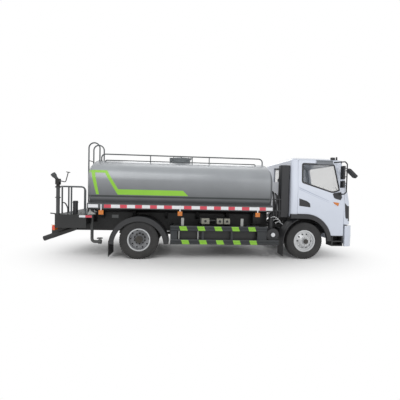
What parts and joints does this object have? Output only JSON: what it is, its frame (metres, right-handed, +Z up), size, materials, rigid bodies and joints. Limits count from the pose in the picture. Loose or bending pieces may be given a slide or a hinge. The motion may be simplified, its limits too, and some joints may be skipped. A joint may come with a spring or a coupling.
{
  "type": "tanker truck",
  "caption": "A two-axle cab-over water tanker truck with a rounded silver tank, white tilting cab, rear platform with a water cannon, ladder, sprinklers and side guards.",
  "frame": {"origin": "on the ground under the middle of the truck's length and width", "axes": "+X forward along the truck, +Y to its left, +Z up"},
  "size_m": [8.5277, 2.77, 3.095],
  "materials": {
    "white_paint": "gloss",
    "tank_paint": "satin",
    "chassis_black": "satin",
    "grey_paint": "satin",
    "rail_steel": "satin",
    "cast_dark": "matt",
    "black_plastic": "matt",
    "seat_cloth": "matt",
    "tyre_rubber": "matt",
    "rim_silver": "satin",
    "window_glass": "clear",
    "lamp_lens": "clear",
    "head_lens": "clear"
  },
  "bodies": {
    "chassis": {"chassis_frame": "chassis_black", "engine_block": "cast_dark", "front_axle": "cast_dark", "rear_axle": "cast_dark", "propeller_shaft": "cast_dark", "tank_shell": "tank_paint", "tank_cradle": "chassis_black", "tank_top_rails": "rail_steel", "rear_ladder": "rail_steel", "manhole_neck": "tank_paint", "rear_platform": "chassis_black", "platform_railing": "rail_steel", "rear_sprinkler": "chassis_black", "water_pipes": "grey_paint", "side_guards": "rail_steel", "mudguards": "black_plastic", "side_boxes": "chassis_black", "air_intake": "black_plastic", "front_bumper": "white_paint", "headlamps": "head_lens", "marker_lamps": "lamp_lens", "cab_steps": "black_plastic"},
    "cab": {"cab_shell": "white_paint", "cab_glass": "window_glass", "cab_trims": "black_plastic", "cab_interior": "seat_cloth"},
    "door_right_body": {"door_right": "white_paint", "door_glass_right": "window_glass", "mirror_right": "black_plastic"},
    "door_left_body": {"door_left": "white_paint", "door_glass_left": "window_glass", "mirror_left": "black_plastic"},
    "lid": {"manhole_lid": "tank_paint"},
    "cannon_base": {"cannon_swivel": "cast_dark"},
    "cannon": {"cannon_barrel": "grey_paint"},
    "knuckle_right_body": {"knuckle_right": "cast_dark"},
    "knuckle_left_body": {"knuckle_left": "cast_dark"},
    "wheel_front_right": {"tyre_front_right": "tyre_rubber", "rim_front_right": "rim_silver"},
    "wheel_front_left": {"tyre_front_left": "tyre_rubber", "rim_front_left": "rim_silver"},
    "wheel_rear_right": {"tyre_rear_right": "tyre_rubber", "rim_rear_right": "rim_silver"},
    "wheel_rear_left": {"tyre_rear_left": "tyre_rubber", "rim_rear_left": "rim_silver"}
  },
  "joints": [
    {"name": "steer_right", "type": "hinge", "parent": "chassis", "child": "knuckle_right_body", "pos_m": [2.755, -0.88, 0.506], "axis": [0, 0, 1], "range_deg": [-30, 30]},
    {"name": "steer_left", "type": "hinge", "parent": "chassis", "child": "knuckle_left_body", "pos_m": [2.755, 0.88, 0.506], "axis": [0, 0, 1], "range_deg": [-30, 30]},
    {"name": "roll_front_right", "type": "hinge", "parent": "knuckle_right_body", "child": "wheel_front_right", "pos_m": [2.755, -1, 0.506], "axis": [0, 1, 0], "continuous": true},
    {"name": "roll_front_left", "type": "hinge", "parent": "knuckle_left_body", "child": "wheel_front_left", "pos_m": [2.755, 1, 0.506], "axis": [0, 1, 0], "continuous": true},
    {"name": "roll_rear_right", "type": "hinge", "parent": "chassis", "child": "wheel_rear_right", "pos_m": [-1.745, -1.085, 0.506], "axis": [0, 1, 0], "continuous": true},
    {"name": "roll_rear_left", "type": "hinge", "parent": "chassis", "child": "wheel_rear_left", "pos_m": [-1.745, 1.085, 0.506], "axis": [0, 1, 0], "continuous": true},
    {"name": "cab_tilt", "type": "hinge", "parent": "chassis", "child": "cab", "pos_m": [4.005, 0, 1.14], "axis": [0, 1, 0], "range_deg": [0, 45]},
    {"name": "door_right_swing", "type": "hinge", "parent": "cab", "child": "door_right_body", "pos_m": [3.84, -1.15, 1.5], "axis": [0, 0, 1], "range_deg": [0, 65]},
    {"name": "door_left_swing", "type": "hinge", "parent": "cab", "child": "door_left_body", "pos_m": [3.84, 1.15, 1.5], "axis": [0, 0, -1], "range_deg": [0, 65]},
    {"name": "lid_swing", "type": "hinge", "parent": "chassis", "child": "lid", "pos_m": [-1.002, 0, 2.7723], "axis": [0, -1, 0], "range_deg": [0, 110]},
    {"name": "cannon_pan", "type": "hinge", "parent": "chassis", "child": "cannon_base", "pos_m": [-3.812, -1.13, 1.8403], "axis": [0, 0, 1], "range_deg": [-120, 120]},
    {"name": "cannon_tilt", "type": "hinge", "parent": "cannon_base", "child": "cannon", "pos_m": [-3.812, -1.13, 2.0053], "axis": [0, 1, 0], "range_deg": [-60, 20]}
  ],
  "couplings": [
    {"joint": "steer_left", "follows": "steer_right", "ratio": 1}
  ]
}
